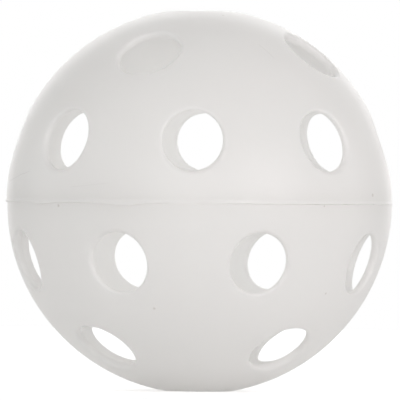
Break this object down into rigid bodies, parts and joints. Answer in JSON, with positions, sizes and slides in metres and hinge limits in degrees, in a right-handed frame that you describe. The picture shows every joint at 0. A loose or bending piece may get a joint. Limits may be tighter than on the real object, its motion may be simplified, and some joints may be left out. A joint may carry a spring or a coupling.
{
  "type": "floorball ball",
  "caption": "Hollow perforated plastic ball made of two half shells welded round the middle, with round holes all over.",
  "frame": {"origin": "centre of the ball, in the middle of the weld", "axes": "+Z through the two pole holes, square to the weld; -Y is the side that the picture shows, +X is to its right"},
  "size_m": [0.0724, 0.0724, 0.0708],
  "materials": {
    "shell_plastic": "off-white moulded polyethylene, smooth satin, slightly translucent",
    "weld_plastic": "the same polyethylene melted and set again, satin and slightly uneven"
  },
  "bodies": {
    "root": {"upper_half_shell": "shell_plastic", "lower_half_shell": "shell_plastic", "weld_bead": "weld_plastic"}
  },
  "joints": []
}
